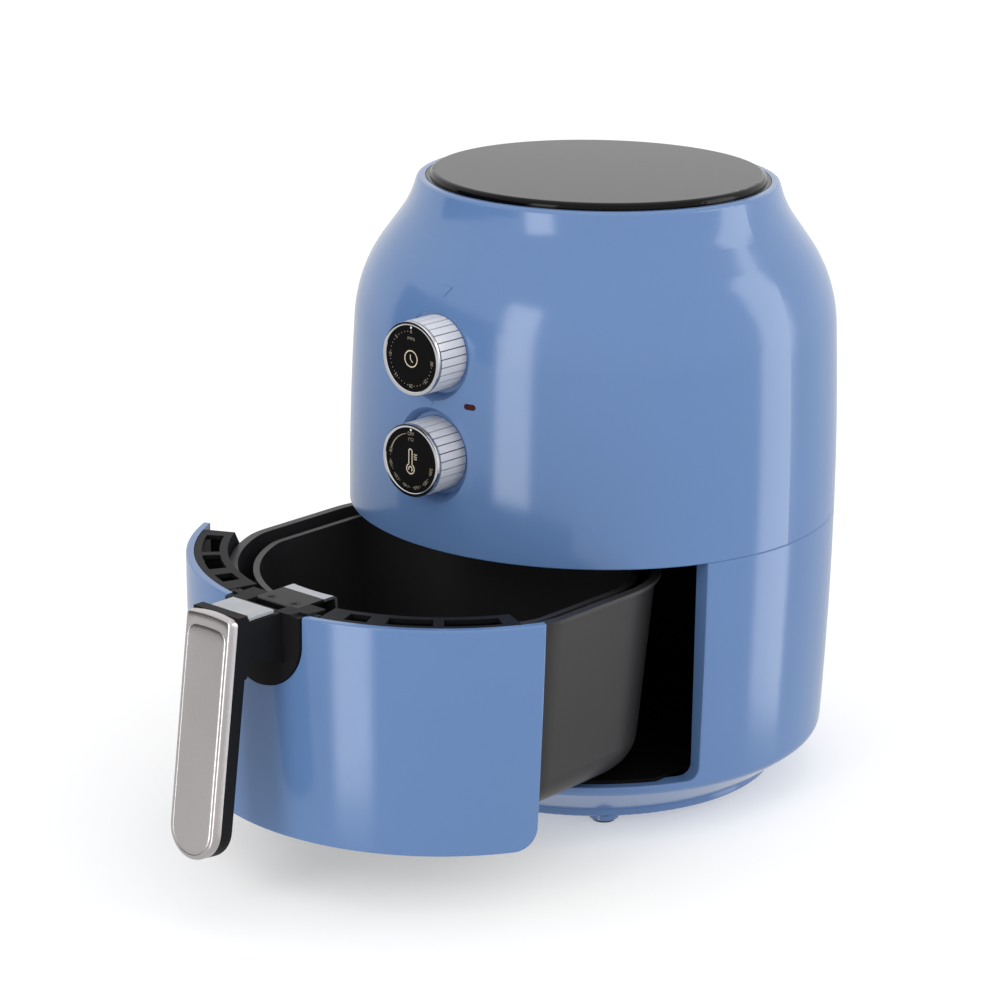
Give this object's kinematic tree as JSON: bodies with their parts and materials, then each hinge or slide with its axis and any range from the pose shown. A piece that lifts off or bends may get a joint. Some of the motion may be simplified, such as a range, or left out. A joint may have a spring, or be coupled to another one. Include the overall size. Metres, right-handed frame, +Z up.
{
  "type": "hot-air fryer",
  "caption": "Round countertop hot-air fryer with a domed case, a dark top disc, a timer knob and a thermostat knob, and a pulled-out drawer with a handle that carries a pan and a basket.",
  "frame": {"origin": "on the floor under the pads, on the upright axis of the round case", "axes": "+Z up; the front faces -Y and the drawer opens that way; +X is to the right seen from the front"},
  "size_m": [0.2658, 0.4404, 0.3325],
  "materials": {
    "body_blue": "gloss",
    "black_gloss": "gloss",
    "black_matte": "matte",
    "knob_silver": "gloss",
    "dial_black": "satin",
    "inner_plastic": "matte",
    "rubber": "matte",
    "pan_coating": "satin",
    "bay_black": "matte",
    "silver": "satin",
    "clear_grey": "gloss",
    "lamp_red": "gloss",
    "motor_metal": "satin",
    "heater_metal": "matte",
    "fan_aluminium": "satin",
    "steel": "satin"
  },
  "bodies": {
    "housing": {"lower_shell": "body_blue", "upper_shell": "body_blue", "top_cover": "black_gloss", "base_plate": "body_blue", "base_screws": "steel", "feet": "body_blue", "foot_pads": "rubber", "case_screws": "steel", "bay_liner": "bay_black", "drawer_switch": "inner_plastic", "cord_gland": "rubber", "hot_chamber": "steel", "heater_guard": "steel", "heating_element": "heater_metal", "heater_hangers": "steel", "motor_bridge": "steel", "motor": "motor_metal", "thermal_cutout": "inner_plastic", "air_outlet": "black_matte", "exhaust_duct": "inner_plastic", "control_bracket": "steel", "timer_unit": "inner_plastic", "thermostat_unit": "inner_plastic", "lamp_lens": "lamp_red", "lamp_holder": "inner_plastic"},
    "fan_rotor": {"fan_shaft": "steel", "hot_fan": "fan_aluminium", "fan_nut": "steel", "cooling_fan": "inner_plastic"},
    "timer_control": {"timer_knob": "knob_silver", "timer_dial": "dial_black", "timer_spindle": "steel"},
    "thermostat_control": {"thermostat_knob": "knob_silver", "thermostat_dial": "dial_black", "thermostat_spindle": "steel"},
    "drawer": {"front_panel": "body_blue", "collar": "black_matte", "panel_screws": "steel", "pan": "pan_coating", "basket": "pan_coating", "basket_floor": "pan_coating", "basket_strap": "steel", "strap_rivets": "steel", "strap_screws": "steel", "handle_arm": "black_matte", "handle_plate": "silver", "handle_screws": "steel", "button_spring": "steel"},
    "button": {"release_button": "black_matte"},
    "guard": {"button_guard": "clear_grey"}
  },
  "joints": [
    {"name": "drawer_slide", "type": "slide", "parent": "housing", "child": "drawer", "axis": [0, -1, 0], "range_m": [-0.122, 0.1]},
    {"name": "timer_turn", "type": "hinge", "parent": "housing", "child": "timer_control", "pos_m": [0, -0.14, 0.256], "axis": [0, 1, 0], "range_deg": [0, 270]},
    {"name": "thermostat_turn", "type": "hinge", "parent": "housing", "child": "thermostat_control", "pos_m": [0, -0.14, 0.2025], "axis": [0, 1, 0], "range_deg": [0, 255]},
    {"name": "fan_spin", "type": "hinge", "parent": "housing", "child": "fan_rotor", "pos_m": [0, 0, 0.22], "axis": [0, 0, 1], "continuous": true},
    {"name": "button_press", "type": "slide", "parent": "drawer", "child": "button", "axis": [0, 0, -1], "range_m": [0, 0.003], "stiffness_N_per_m": 400, "deforming": ["button_spring"]},
    {"name": "guard_slide", "type": "slide", "parent": "drawer", "child": "guard", "axis": [0, -1, 0], "range_m": [0, 0.0058]}
  ]
}
